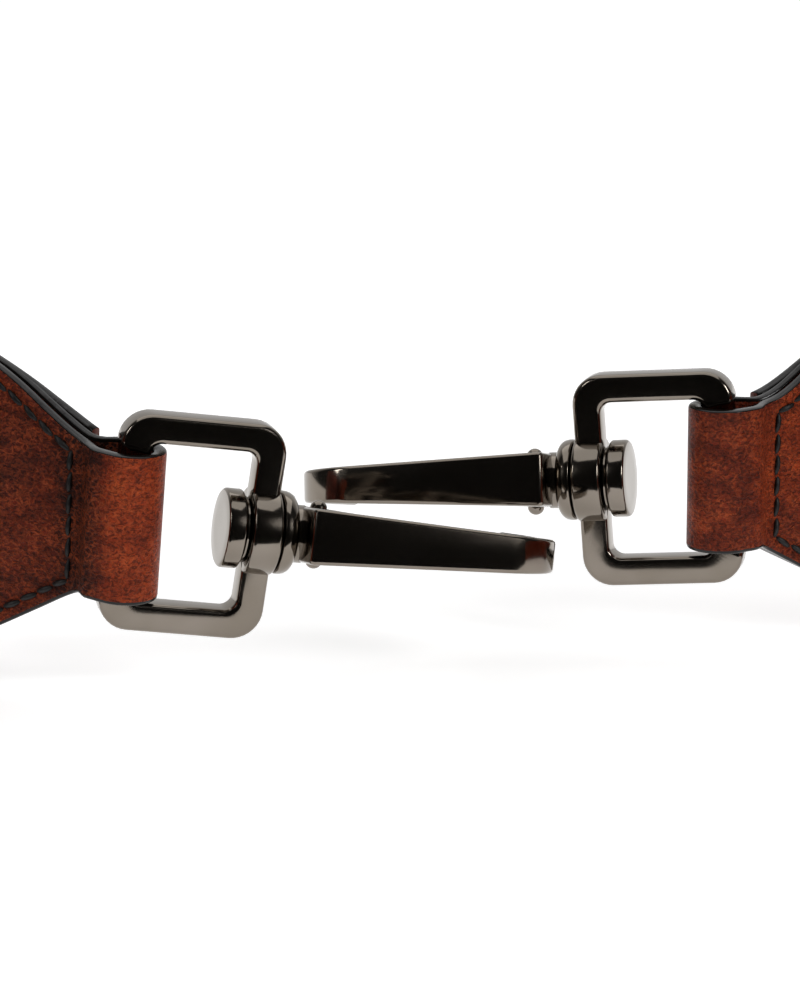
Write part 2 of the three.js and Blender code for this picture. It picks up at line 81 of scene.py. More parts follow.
# the leather's thickness, and how far its faces lie from the strap's middle line
LEATHER = 1.7
FULL_FACE = 3.5
PINCHED_FACE = 2.05
EDGE_FACE = 1.78
FOLD_RADIUS = 2.7
BAR_FACE = FOLD_RADIUS + LEATHER
FLAP_OUTER = 1.65
FLAP_INNER = 0.25
# how far the padded middle sinks and ripples
CROWN_DIP = 0.1
RIPPLE = 0.09
# distances along the strap from each hinge bar; the fold's centre lies beyond the bar by its reach
FOLD_REACH = 0.6
FOLD_RUN = 1.8
TAB_END = 4.0
PINCH_START = 6.0
SEAM_AT = 7.0
FLAP_END = 19.0
PINCH_END = 24.0
FINE_UNTIL = 60.0
# distances in from the strap's edges
PAINT_ROUND = 0.5
SEAM_INSET = 1.9
PADDED_FROM = 2.6
PADDED_TO = 10.5
# the thread's groove: how deep, and the half width of its bell along the edges and across the tab
GROOVE_DEPTH = 0.32
ROW_SPREAD = 0.6
CROSS_SPREAD = 0.7
# each taper's start, pull, push and end along the strap, below and above the tab's middle
LEFT_TAPERS = ((3.2, 9.4, 27.0, 48.8), (4.3, 9.6, 16.9, 49.0))
RIGHT_TAPERS = ((3.3, 6.3, 23.8, 49.4), (4.8, 13.4, 16.8, 48.8))


def joint(name):
    """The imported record's joint of that name."""
    return next(j for j in frame["record"]["behaviour"]["joints"] if j["name"] == name)


def smooth(low, high, x):
    """A rise from 0 at low to 1 at high that is level at both ends: 3s^2 - 2s^3."""
    s = np.clip((x - low) / (high - low), 0, 1)
    return s * s * (3 - 2 * s)


def middle_line():
    """The strap's middle line in plan, from the left hinge bar to the right one: a spiral whose radius
    is drawn in by a square law near each end. Gives its distances, places and directions."""
    t = np.linspace(0, 1, 8001)
    angle = np.radians(90 + LEFT_ANGLE + t * (360 - LEFT_ANGLE - RIGHT_ANGLE))
    spiral = LEFT_RADIUS + t * (RIGHT_RADIUS - LEFT_RADIUS)
    nearest = np.minimum(t, 1 - t) * spiral * 2 * np.pi
    radius = spiral - CURL_DEPTH * np.clip(1 - nearest / CURL_LENGTH, 0, None) ** 2
    line = np.stack([radius * np.cos(angle), radius * np.sin(angle)], 1)
    step = np.diff(line, axis=0)
    distance = np.concatenate([[0], np.cumsum(np.hypot(*step.T))])
    direction = np.gradient(line, distance, axis=0)
    direction /= np.linalg.norm(direction, axis=1, keepdims=True)
    hinge = np.array(joint("left_ring_hinge")["pos_m"][:2]) / MM
    return distance, line - line[0] + hinge, direction


LINE_AT, LINE, LINE_WAY = middle_line()
LENGTH = LINE_AT[-1]
LEFT_PULL = Vector(joint("left_swivel")["axis"]).to_2d().normalized()


def on_strap(along, inward, height):
    """Points in metres, from millimetres along the middle line, in from it, and above the lower edge.
    Past its ends the line goes straight on, and the left tab slants after its hanging ring."""
    along, inward, height = np.broadcast_arrays(along, inward, height)
    held = np.clip(along, 0, LENGTH)
    x, y = (np.interp(held, LINE_AT, LINE[:, i]) for i in (0, 1))
    way_x, way_y = (np.interp(held, LINE_AT, LINE_WAY[:, i]) for i in (0, 1))
    slant = (1 - smooth(*TILT_FADE, along)) * np.tan(np.radians(LEFT_TILT)) * (height - TAB_HEIGHT)
    x = x + (along - held) * way_x - inward * way_y + slant * LEFT_PULL.x
    y = y + (along - held) * way_y + inward * way_x + slant * LEFT_PULL.y
    return np.stack([x, y, height], -1) * MM


def from_end(along):
    """The distance from the nearer hinge bar."""
    return np.minimum(along, LENGTH - along)


def half_width(d, full, start, pull, push, end):
    """How far one edge lies from the tab's middle: a cubic Bezier from the tab's half width to full,
    level at both ends. Also the cosine of its slope."""
    t = np.linspace(0, 1, 400)
    u = 1 - t
    x = start * u**3 + 3 * pull * u * u * t + 3 * push * u * t * t + end * t**3
    y = TAB_HALF_WIDTH * (u**3 + 3 * u * u * t) + full * (3 * u * t * t + t**3)
    cosine = np.cos(np.arctan(np.gradient(y, x)))
    return np.interp(d, x, y), np.interp(d, x, cosine)


def strap_edges(along):
    """The heights of the lower and upper edge, and the cosine of each one's slope. Each end has its own
    taper, and the left tab hangs down with its ring."""
    d = from_end(along)
    full = (TAB_HEIGHT, STRAP_WIDTH - TAB_HEIGHT)
    ends = [[half_width(d, reach, *shape) for reach, shape in zip(full, pair)]
            for pair in (LEFT_TAPERS, RIGHT_TAPERS)]
    (below, cos_below), (above, cos_above) = (
        [np.where(along < LENGTH / 2, left, right) for left, right in zip(*pair)] for pair in zip(*ends)
    )
    hang = np.tan(np.radians(LEFT_TILT)) * np.clip(TAB_END - along, 0, None)
    return TAB_HEIGHT - below - hang, TAB_HEIGHT + above - hang, cos_below, cos_above


def edge_distance(along, height):
    """The distance from the nearer edge, square to that edge."""
    low, high, cos_low, cos_high = strap_edges(along)
    return np.minimum((height - low) * cos_low, (high - height) * cos_high)


def seam_groove(along, height):
    """How far the pulled thread sinks the leather: a bell-shaped channel under each row."""
    d = from_end(along)
    inset = edge_distance(along, height)
    rows = np.exp(-(((inset - SEAM_INSET) / ROW_SPREAD) ** 2)) * smooth(6.2, 7.2, d)
    cross = np.exp(-(((d - SEAM_AT) / CROSS_SPREAD) ** 2)) * smooth(1.0, 2.2, inset)
    return GROOVE_DEPTH * np.maximum(rows, cross)


def front_face(along, height):
    """The face of the front leather that shows: full over the bar, pinched at the cross seam, and from
    there a level rim that rises to the padded middle, which ripples slightly as a product of sines."""
    d = from_end(along)
    neck = BAR_FACE + (PINCHED_FACE - BAR_FACE) * smooth(FOLD_RUN, PINCH_START, d)
    swell = smooth(SEAM_AT + 1, PINCH_END, d)
    rim = PINCHED_FACE + (EDGE_FACE - PINCHED_FACE) * swell
    crown = smooth(PADDED_FROM, PADDED_TO, edge_distance(along, height)) * swell
    waves = np.sin(along * 0.23 + 1.3 * np.sin(height * 0.11))
    ripple = RIPPLE * waves * np.sin(height * 0.17 + along * 0.031)
    body = rim + (FULL_FACE - CROWN_DIP - rim + ripple) * crown
    return np.where(d < PINCH_START, neck, body) - seam_groove(along, height)


def section(rows, edge_rows=7, back_rows=10):
    """One turn round a sheet's cross-section: how far up it is, how far through from the outer face,
    and how far its rounded edges bulge. Rows crowd towards the edges."""
    up = (1 - np.cos(np.linspace(0, np.pi, rows))) / 2
    down = (1 + np.cos(np.linspace(0, np.pi, back_rows))) / 2
    turn = np.linspace(0, np.pi, edge_rows + 2)[1:-1]
    through = (1 - np.sign(np.cos(turn)) * np.abs(np.cos(turn)) ** 0.6) / 2
    bulge = np.sin(turn) ** 0.6
    share = np.concatenate([up, np.ones(edge_rows), down, np.zeros(edge_rows)])
    depth = np.concatenate([np.zeros(rows), through, np.ones(back_rows), 1 - through])
    swell = np.concatenate([np.zeros(rows), bulge, np.zeros(back_rows), -bulge])
    return share, depth, swell


def shell(name, grids, painted=None, sharp=None):
    """One piece from grids of points, in metres. Each ring of a grid closes on itself. A grid whose last
    ring repeats its first is joined there, and any other is capped. Painted columns take the second
    slot, and points that meet at a pole are merged."""
    points, faces, slots, base = [], [], [], 0
    for grid in grids:
        looped = np.allclose(grid[0], grid[-1], rtol=0, atol=1e-9)
        grid = grid[:-1] if looped else grid
        rings, around = grid.shape[:2]
        i = np.arange(rings if looped else rings - 1)[:, None]
        j = np.arange(around)[None, :]
        beside = (j + 1) % around
        onward = (i + 1) % rings * around
        quads = np.stack(np.broadcast_arrays(
            i * around + j, onward + j, onward + beside, i * around + beside,
        ), -1).reshape(-1, 4) + base
        faces += quads.tolist()
        slots += [0] * len(quads) if painted is None else np.tile(painted, len(i)).tolist()
        if not looped:
            last = base + (rings - 1) * around
            faces += [list(range(start, start + around)) for start in (base, last)]
            slots += [0, 0]
        points.append(grid.reshape(-1, 3))
        base += rings * around
    mesh = bpy.data.meshes.new(name)
    mesh.from_pydata(np.concatenate(points).tolist(), [], faces)
    mesh.polygons.foreach_set("material_index", slots)
    work = bmesh.new()
    work.from_mesh(mesh)
    bmesh.ops.remove_doubles(work, verts=work.verts, dist=1e-8)
    bmesh.ops.recalc_face_normals(work, faces=work.faces)
    work.to_mesh(mesh)
    work.free()
    mesh.shade_smooth()
    if sharp is not None:
        mesh.set_sharp_from_angle(angle=np.radians(sharp))
    piece = bpy.data.objects.new(name, mesh)
    bpy.context.scene.collection.objects.link(piece)
    return piece


def colour(hex_code):
    """An sRGB hex colour as linear red, green, blue and 1."""
    parts = np.array([int(hex_code[i:i + 2], 16) for i in (1, 3, 5)]) / 255
    linear = np.where(parts <= 0.04045, parts / 12.92, ((parts + 0.055) / 1.055) ** 2.4)
    return (*linear, 1.0)


def add(material, kind, inputs, **settings):
    """A new node of a kind, with its settings, and each input given a value or linked to a socket."""
    made = material.node_tree.nodes.new("ShaderNode" + kind)
    for key, value in settings.items():
        setattr(made, key, value)
    for key, value in inputs.items():
        if isinstance(value, bpy.types.NodeSocket):
            material.node_tree.links.new(value, made.inputs[key])
        else:
            made.inputs[key].default_value = value
    return made


def new_material(name):
    """An empty node material, and the Object coordinates that its pattern follows."""
    material = bpy.data.materials.new(name)
    material.use_nodes = True
    material.node_tree.nodes.clear()
    return material, add(material, "TexCoord", {}).outputs["Object"]


def finish_material(material, surface):
    """The surface shader joined to the material's output."""
    add(material, "OutputMaterial", {"Surface": surface.outputs["BSDF"]})
    return material


def ramp(material, factor, stops):
    """A colour that runs through stops of (place, hex colour) as the factor rises."""
    made = add(material, "ValToRGB", {"Fac": factor})
    elements = made.color_ramp.elements
    while len(elements) < len(stops):
        elements.new(0.5)
    for element, (place, hex_code) in zip(elements, stops):
        element.position = place
        element.color = colour(hex_code)
    return made.outputs["Color"]


def waxed_cowhide():
    """Cowhide, drum dyed, with a fine pebbled grain and a rubbed wax finish. To the eye: dark red-brown,
    mottled, with a fine net of lighter creases that run along the strap, and a low gloss."""
    material, place = new_material("waxed_cowhide")
    drift = add(material, "TexNoise", {"Vector": place, "Scale": 900.0, "Detail": 4.0, "Roughness": 0.7})
    pushed = add(material, "VectorMath", {0: drift.outputs["Color"], 1: (0.0016, 0.0016, 0.0016)},
                 operation="MULTIPLY")
    bent = add(material, "VectorMath", {0: place, 1: pushed.outputs[0]}, operation="ADD")
    # creases about 0.5 mm apart up the strap and twice that along it
    drawn = add(material, "Mapping", {"Vector": bent.outputs[0], "Scale": (1.0, 1.0, 1.9)})
    cells = add(material, "TexVoronoi", {"Vector": drawn.outputs[0], "Scale": 950.0},
                feature="DISTANCE_TO_EDGE")
    crease = add(material, "MapRange", {"Value": cells.outputs["Distance"], "From Min": 0.0,
                                        "From Max": 0.22, "To Min": 1.0, "To Max": 0.0})
    pores = add(material, "TexNoise", {"Vector": drawn.outputs[0], "Scale": 1900.0, "Detail": 3.0,
                                       "Roughness": 0.6})
    patches = add(material, "TexNoise", {"Vector": drawn.outputs[0], "Scale": 190.0, "Detail": 6.0,
                                         "Roughness": 0.68})
    clouds = add(material, "TexNoise", {"Vector": place, "Scale": 55.0, "Detail": 3.0})
    # painted light and shade: this layer lightens the leather for wax rubbed off the fold, and also
    # paints a highlight on the fold and shade just before the cross seam
    wear_and_painted_light = add(material, "Attribute", {}, attribute_name="wear_and_painted_light")
    tone = add(material, "Math", {0: patches.outputs["Fac"], 1: clouds.outputs["Fac"]}, operation="ADD")
    rubbed_and_painted_light = add(material, "Math", {0: wear_and_painted_light.outputs["Fac"], 1: 0.7, 2: tone.outputs[0]},
                 operation="MULTIPLY_ADD")
    level = add(material, "MapRange", {"Value": rubbed_and_painted_light.outputs[0], "From Min": 0.70, "From Max": 2.0})
    base = ramp(material, level.outputs[0], [
        (0.0, "#2a0d07"), (0.28, "#43150a"), (0.52, "#6c240f"), (0.78, "#983816"), (1.0, "#b95223"),
    ])
    mask = add(material, "MapRange", {"Value": patches.outputs["Fac"], "From Min": 0.35,
                                      "From Max": 0.75, "To Min": 0.05, "To Max": 0.85})
    shown = add(material, "Math", {0: crease.outputs[0], 1: mask.outputs[0]}, operation="MULTIPLY")
    veined = add(material, "Mix", {0: shown.outputs[0], 6: base, 7: colour("#b4552d")}, data_type="RGBA")
    dotted = add(material, "MapRange", {"Value": pores.outputs["Fac"], "From Min": 0.4, "From Max": 0.56,
                                        "To Min": 0.35, "To Max": 1.1})
    final = add(material, "Mix", {0: 1.0, 6: veined.outputs[2], 7: dotted.outputs[0]},
                data_type="RGBA", blend_type="MULTIPLY")
    relief = add(material, "Math", {0: crease.outputs[0], 1: 0.5, 2: pores.outputs["Fac"]},
                 operation="MULTIPLY_ADD")
    bump = add(material, "Bump", {"Height": relief.outputs[0], "Strength": 1.0, "Distance": 0.00024})
    gloss = add(material, "MapRange", {"Value": patches.outputs["Fac"], "To Min": 0.46, "To Max": 0.3})
    skin = add(material, "BsdfPrincipled", {
        "Base Color": final.outputs[2], "Roughness": gloss.outputs[0], "IOR": 1.33,
        "Specular IOR Level": 0.3, "Normal": bump.outputs[0],
    })
    return finish_material(material, skin)


def edge_paint():
    """Black acrylic edge paint, brushed on in coats and burnished. To the eye: nearly black, glossy,
    with a slight unevenness from the brush."""
    material, place = new_material("edge_paint")
    uneven = add(material, "TexNoise", {"Vector": place, "Scale": 420.0, "Detail": 3.0})
    tint = ramp(material, uneven.outputs["Fac"], [(0.3, "#070605"), (0.75, "#15110f")])
    bump = add(material, "Bump", {"Height": uneven.outputs["Fac"], "Strength": 0.5, "Distance": 0.0002})
    paint = add(material, "BsdfPrincipled", {
        "Base Color": tint, "Roughness": 0.2, "IOR": 1.38, "Normal": bump.outputs[0],
    })
    return finish_material(material, paint)


COWHIDE = waxed_cowhide()
EDGE_PAINT = edge_paint()


def strap_sheet(name, along, inward, section_rows, skins, inset=0.0, edge_round=PAINT_ROUND):
    """A sheet that follows the strap. Each pair gives the outer and the inner face; inward is a function
    of the distance along and the height. A point is the mix of the two faces by its depth, and its
    height runs between the strap's edges, which bulge at the rim."""
    share, depth, swell = section(*section_rows)
    outer_along, inner_along = (a[:, None] for a in along)
    low, high, _, _ = strap_edges(outer_along)
    low, high = low + inset + edge_round, high - inset - edge_round
    height = low + (high - low) * share + swell * edge_round
    place = outer_along + (inner_along - outer_along) * depth
    outer, inner = (face(where, height) for face, where in zip(inward, (outer_along, inner_along)))
    points = on_strap(place, outer + (inner - outer) * depth, height)
    painted = ((depth > 0) & (depth < 1)).astype(int)
    piece = shell(name, [points], painted=painted)
    for skin in skins:
        piece.data.materials.append(skin)
    return piece, place


def front_run():
    """The front leather's stations, as distance along and inward place of both faces, from the end of
    the left flap round the bar and along the front to the end of the right flap."""
    back = np.linspace(FLAP_END, FOLD_RUN, 26)
    turn = np.radians(np.linspace(270, 90, 25))
    near = np.arange(0, FINE_UNTIL, 0.75)
    body = np.linspace(FINE_UNTIL, LENGTH / 2, 180)

    def one_end(full, pared):
        flap = -(full + (pared - full) * smooth(FOLD_RUN, PINCH_START, back))
        along = np.concatenate([back, full * np.cos(turn) - FOLD_REACH, near, body])
        place = np.concatenate([flap, full * np.sin(turn), np.full(len(near) + len(body), np.nan)])
        return along, place

    faces = []
    for full, pared in ((BAR_FACE, FLAP_OUTER), (FOLD_RADIUS, FLAP_INNER)):
        along, place = one_end(full, pared)
        both_ends = np.concatenate([along, LENGTH - along[-2::-1]])
        faces.append((both_ends, np.concatenate([place, place[-2::-1]])))
    return faces


(outer_run, outer_fold), (inner_run, inner_fold) = front_run()


def wrapped(fold, thickness):
    """The front face less a thickness, with the folded ends put in where they are given."""
    def face(along, height):
        flat = front_face(along, height) - thickness
        return np.where(np.isnan(fold)[:, None], flat, np.nan_to_num(fold)[:, None])
    return face


front, front_place = strap_sheet(
    "front_leather_sheet", (outer_run, inner_run),
    (wrapped(outer_fold, 0), wrapped(inner_fold, LEATHER)), (44,), (COWHIDE, EDGE_PAINT),
)


def rubbed_and_painted_light(along):
    """How much lighter the leather is painted: partly wax rubbed off over the fold, partly painted light
    and shade. The left end is palest over the bar, which is wear together with a painted highlight on the
    fold's curve, and darkest just before the cross seam, which is painted shade, and in between on the
    body; the right end is a little darker over the bar."""
    left = 1 - 1.35 * smooth(-2.0, 3.2, along) + 0.7 * smooth(6.6, 9.5, along)
    right = 0.42 + 0.24 * smooth(-0.5, 3.0, LENGTH - along)
    half = smooth(LENGTH * 0.4, LENGTH * 0.6, along)
    return left + (right - left) * half


# this layer holds wear together with painted light and shade: a painted highlight over the left fold and
# painted shade just before the left cross seam
painted_light_and_wear_layer = front.data.attributes.new("wear_and_painted_light", "FLOAT", "POINT")
painted_light_and_wear_layer.data.foreach_set("value", rubbed_and_painted_light(front_place).reshape(-1))
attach(front, "strap")
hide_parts("front_leather")

# ---- Lining leather -----------------------------------------------------------------------------
# A second strip of smoother, darker leather on the back. It covers the turned-back flaps, stops short
# of the bars, and is sewn and edge-painted together with the front.

LINING_START = 6.4
LINING_FACE = 3.7


def lining_face(along, height):
    """The lining's outer face, towards the outside of the loop: level over the flap, then a rim close
    under the front leather that falls to the padded middle."""
    d = from_end(along)
    rim = LINING_FACE + (EDGE_FACE - LINING_FACE) * smooth(LINING_START, FLAP_END, d)
    middle = LINING_FACE + (FULL_FACE - LINING_FACE) * smooth(FLAP_END, PINCH_END, d)
    crown = smooth(PADDED_FROM, PADDED_TO, edge_distance(along, height))
    return -(rim + (middle - rim) * crown) + 0.8 * seam_groove(along, height)


def lining_leather():
    """Cowhide lining, corrected grain, aniline dyed. To the eye: dark red-brown, softly mottled, with
    a fine grain and a dull sheen."""
    material, place = new_material("lining_leather")
    grain = add(material, "TexNoise", {"Vector": place, "Scale": 1400.0, "Detail": 3.0})
    clouds = add(material, "TexNoise", {"Vector": place, "Scale": 130.0, "Detail": 7.0,
                                        "Roughness": 0.66})
    tint = ramp(material, clouds.outputs["Fac"], [
        (0.32, "#35120a"), (0.55, "#5c2110"), (0.72, "#823216"),
    ])
    bump = add(material, "Bump", {"Height": grain.outputs["Fac"], "Strength": 0.6, "Distance": 0.0002})
    skin = add(material, "BsdfPrincipled", {
        "Base Color": tint, "Roughness": 0.5, "IOR": 1.36, "Specular IOR Level": 0.35,
        "Normal": bump.outputs[0],
    })
    return finish_material(material, skin)


def even_run(start, near_step=0.8):
    """Stations from one distance off the left bar to the same off the right one, closer at the ends."""
    near = np.arange(start, FINE_UNTIL, near_step)
    middle = np.linspace(FINE_UNTIL, LENGTH - FINE_UNTIL, 360)
    return np.concatenate([near, middle, LENGTH - near[::-1]])


lining_run = even_run(LINING_START)
lining, _ = strap_sheet(
    "lining_leather_sheet", (lining_run, lining_run),
    (lining_face, lambda along, height: lining_face(along, height) + LEATHER),
    (40,), (lining_leather(), EDGE_PAINT),
)
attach(lining, "strap")
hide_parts("back_leather")

# ---- Padding and stay tape ----------------------------------------------------------------------
# Inside, a strip of dense foam gives the strap its crowned middle, and a woven cotton tape glued
# behind it keeps the leather from stretching. Both are closed in by the two leathers.

FOAM_INSET = 4.5
FOAM_RIM = 0.2
FOAM_FRONT = 1.5
FOAM_BACK = -0.8
TAPE_INSET = 12.5
TAPE_FRONT = -1.05
TAPE_BACK = -1.5
CORE_START = 26.0
CORE_ROUND = 0.2


def dense_foam():
    """Closed-cell polyethylene foam, skived. To the eye: matt cream with fine cells."""
    material, place = new_material("dense_foam")
    cells = add(material, "TexVoronoi", {"Vector": place, "Scale": 1200.0})
    tint = ramp(material, cells.outputs["Distance"], [(0.0, "#b8ab8b"), (0.6, "#d5cab0")])
    bump = add(material, "Bump", {"Height": cells.outputs["Distance"], "Strength": 0.4,
                                  "Distance": 0.0002})
    foam = add(material, "BsdfPrincipled", {"Base Color": tint, "Roughness": 0.95,
                                            "Normal": bump.outputs[0]})
    return finish_material(material, foam)


def cotton_tape():
    """Cotton stay tape in plain weave. To the eye: off-white, matt, with threads 0.5 mm apart."""
    material, place = new_material("cotton_tape")
    threads = add(material, "TexWave", {"Vector": place, "Scale": 320.0}, bands_direction="Z")
    tint = ramp(material, threads.outputs["Fac"], [(0.2, "#cfc8b4"), (0.8, "#eae4d4")])
    cloth = add(material, "BsdfPrincipled", {"Base Color": tint, "Roughness": 0.9})
    return finish_material(material, cloth)


def between(rim, middle):
    """A face that goes from one level at the padding's rim to another in its middle."""
    def face(along, height):
        rise = smooth(FOAM_INSET, PADDED_TO + 1, edge_distance(along, height))
        start = smooth(CORE_START, CORE_START + 12, from_end(along))
        return rim + (middle - rim) * rise * start
    return face


FOAM = dense_foam()
COTTON = cotton_tape()
core_run = even_run(CORE_START, 2.0)
foam, _ = strap_sheet(
    "foam_core", (core_run, core_run), (between(FOAM_RIM, FOAM_FRONT), between(-FOAM_RIM, FOAM_BACK)),
    (16, 3, 16), (FOAM, FOAM), inset=FOAM_INSET, edge_round=CORE_ROUND,
)
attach(foam, "strap")
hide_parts("core_padding")

tape, _ = strap_sheet(
    "woven_stay_tape", (core_run, core_run),
    (between(TAPE_FRONT, TAPE_FRONT), between(TAPE_BACK, TAPE_BACK)),
    (6, 1, 6), (COTTON, COTTON), inset=TAPE_INSET, edge_round=CORE_ROUND,
)
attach(tape, "strap")
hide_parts("stay_tape")

# ---- Stitching ----------------------------------------------------------------------------------
# A lockstitch in heavy waxed black thread runs all round, close to the edge, and crosses each tab
# where the two leathers close on the ring. It shows as separate slanted stitches on both faces.

STITCH_PITCH = 2.75
STITCH_LENGTH = 2.8
STITCH_WIDTH = 0.8
STITCH_SLANT = 7.0
STITCH_RISE = 0.34
STITCH_SUNK = 0.12
STITCH_FLATNESS = 0.8


def seam_legs():
    """The seam as four lines of (distance along, height): below, up the right tab, above, down the
    left tab. Each long line is its strap edge moved in square to itself."""
    along = np.linspace(2.5, LENGTH - 2.5, 12001)
    low, high, _, _ = strap_edges(along)
    legs = []
    for edge, sign in ((low, 1), (high, -1)):
        slope = np.gradient(edge, along)
        scale = SEAM_INSET / np.hypot(1, slope)
        line = np.stack([along - sign * slope * scale, edge + sign * scale], 1)
        line = line[(line[:, 0] >= SEAM_AT) & (line[:, 0] <= LENGTH - SEAM_AT)]
        legs.append(line)
    below, above = legs
    return [below, np.stack([below[-1], above[-1]]), above[::-1], np.stack([above[0], below[0]])]


def stitches(name, face, outward):
    """Separate stitches along the seam. Each is a small tube whose centre line rises out of the leather
    and dips back as a sine, and whose round section narrows to both ends."""
    u = np.linspace(0, 1, 7)[None, :, None]
    turn = np.linspace(0, 2 * np.pi, 9)[:-1][None, None, :]
    fat = np.sin(np.pi * (0.03 + 0.94 * u)) ** 0.35 * STITCH_WIDTH / 2
    grids = []
    for leg in seam_legs():
        run = np.concatenate([[0], np.cumsum(np.hypot(*np.diff(leg, axis=0).T))])
        count = max(1, round(run[-1] / STITCH_PITCH))
        centre = (np.arange(count) + 0.5) * run[-1] / count
        ahead = [np.interp(centre + 0.3, run, leg[:, i]) - np.interp(centre - 0.3, run, leg[:, i])
                 for i in (0, 1)]
        heading = np.arctan2(ahead[1], ahead[0]) + np.radians(STITCH_SLANT) * outward
        a, h = (np.interp(centre, run, leg[:, i])[:, None, None] for i in (0, 1))
        cos, sin = (f(heading)[:, None, None] for f in (np.cos, np.sin))
        step = (u - 0.5) * STITCH_LENGTH
        side = fat * np.cos(turn)
        along = a + step * cos - side * sin
        height = h + step * sin + side * cos
        lift = STITCH_RISE * np.sin(np.pi * u) - STITCH_SUNK + STITCH_FLATNESS * fat * np.sin(turn)
        grids += list(on_strap(along, face(a, h) + outward * lift, height))
    return shell(name, grids)


def waxed_thread():
    """Bonded polyester thread, twisted and waxed. To the eye: black, with a soft shine and a fine
    twist."""
    material, place = new_material("waxed_thread")
    twist = add(material, "TexNoise", {"Vector": place, "Scale": 2600.0, "Detail": 1.0})
    tint = ramp(material, twist.outputs["Fac"], [(0.35, "#050505"), (0.7, "#161413")])
    bump = add(material, "Bump", {"Height": twist.outputs["Fac"], "Strength": 0.6, "Distance": 0.0001})
    fibre = add(material, "BsdfPrincipled", {
        "Base Color": tint, "Roughness": 0.5, "IOR": 1.4, "Normal": bump.outputs[0],
    })
    return finish_material(material, fibre)


THREAD = waxed_thread()
for name, face, outward, node in (
    ("front_stitches", front_face, 1, "front_stitching"),
    ("back_stitches", lining_face, -1, "back_stitching"),
):
    row = stitches(name, face, outward)
    row.data.materials.append(THREAD)
    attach(row, "strap")
    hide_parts(node)

# ---- Swivel rings -------------------------------------------------------------------------------
# A square ring cast in zinc, tumbled, polished and plated in dark nickel. Its bar lies in the fold of
# the leather, and a round boss on the far side carries the swivel.

SIDES = ("left", "right")
BAR_RADIUS = 1.88
RING_THICKNESS = 4.0
RING_HALF_HEIGHT = 13.85
WINDOW_HALF_HEIGHT = 10.2
RING_END = 19.1
WINDOW_END = 15.46
RING_CORNER = 3.9
WINDOW_CORNER = 1.5
RING_BEVEL = 0.75
BAR_BLEND = (8.0, 8.7)
BOSS_RADIUS = 5.5
BOSS = (15.5, 19.3)
BOSS_HALF_GAP = 4.0
SHANK_BORE = 2.8
SHARP_ANGLE = 40


def clasp_frame(side, swung):
    """From millimetres in a clasp's own directions to metres: x along its swivel axis from the hinge
    bar, z along the ring's bar, or along the gate's pin once the hook is swung, and y square to both."""
    x = Vector(joint(f"{side}_swivel")["axis"]).normalized()
    z = Vector(joint(f"{side}_gate_hinge" if swung else f"{side}_ring_hinge")["axis"]).normalized()
    turn = Matrix((x, z.cross(x), z)).transposed()
    origin = np.array(joint(f"{side}_ring_hinge")["pos_m"])
    return lambda points: points @ (np.array(turn).T * MM) + origin


def lathe(profile, sides=48):
    """A turned part round the x axis: each (distance, radius) of the profile carried round a circle."""
    at, radius = np.array(profile, float).T[:, :, None]
    turn = np.linspace(0, 2 * np.pi, sides + 1)[:-1]
    return np.stack(np.broadcast_arrays(at, radius * np.cos(turn), radius * np.sin(turn)), -1)


def rounded_path(x, half_height, corner, counts):
    """An open path round a rectangle from its right side, over the top, down the left and back along
    the bottom: straight runs joined by quarter circles of the corner's radius."""
    left, right = x
    side_run, top_run, bar_run, arc_run = counts
    quarter = np.radians(np.linspace(0, 90, arc_run))
    arc = [corner * np.cos(quarter), corner * np.sin(quarter)]
    up = np.linspace(0.0, half_height - corner, side_run)
    top = np.linspace(right - corner, left + corner, top_run)[1:-1]
    bar = np.linspace(half_height - corner, 0, bar_run)[1:]
    px = np.concatenate([np.full(side_run - 1, right), right - corner + arc[0], top,
                         left + corner - arc[1], np.full(bar_run - 1, left)])
    pz = np.concatenate([up[:-1], half_height - corner + arc[1], np.full(top_run - 2, half_height),
                         half_height - corner + arc[0], bar])
    return np.concatenate([px, px[-2::-1]]), np.concatenate([pz, -pz[-2::-1]])


def ring_grid():
    """The ring's frame: a rounded rectangle carried between an inner and an outer path. Its corner
    radius grows to half its thickness along the bar, which is round there. The frame's two ends are
    inside the boss, with a gap between them for the swivel's shank."""
    counts = (8, 14, 22, 10)
    outer_x, outer_z = rounded_path((-BAR_RADIUS, RING_END), RING_HALF_HEIGHT, RING_CORNER, counts)
    inner_x, inner_z = rounded_path((BAR_RADIUS, WINDOW_END), WINDOW_HALF_HEIGHT, WINDOW_CORNER, counts)
    kept = (outer_x < RING_END / 2) | (np.abs(outer_z) > BOSS_HALF_GAP)
    outer_x, outer_z, inner_x, inner_z = (a[kept] for a in (outer_x, outer_z, inner_x, inner_z))
    width = np.hypot(outer_x - inner_x, outer_z - inner_z)[:, None]
    on_bar = np.where(outer_x < 0, 1 - smooth(*BAR_BLEND, np.abs(inner_z)), 0)[:, None]
    half = RING_THICKNESS / 2 + (BAR_RADIUS - RING_THICKNESS / 2) * on_bar
    bevel = RING_BEVEL + (BAR_RADIUS - 0.02 - RING_BEVEL) * on_bar
    turn = np.radians(np.concatenate([np.linspace(90 * q, 90 * q + 90, 6) for q in range(4)]))
    quarter = np.repeat(np.arange(4), 6)
    out = np.where((quarter == 0) | (quarter == 3), 1, -1)
    rise = np.where(quarter < 2, 1, -1)
    across = width / 2 + out * (width / 2 - bevel) + bevel * np.cos(turn)
    thick = rise * (half - bevel) + bevel * np.sin(turn)
    share = across / width
    x = inner_x[:, None] + (outer_x - inner_x)[:, None] * share
    z = inner_z[:, None] + (outer_z - inner_z)[:, None] * share
    return np.stack([x, thick, z], -1)


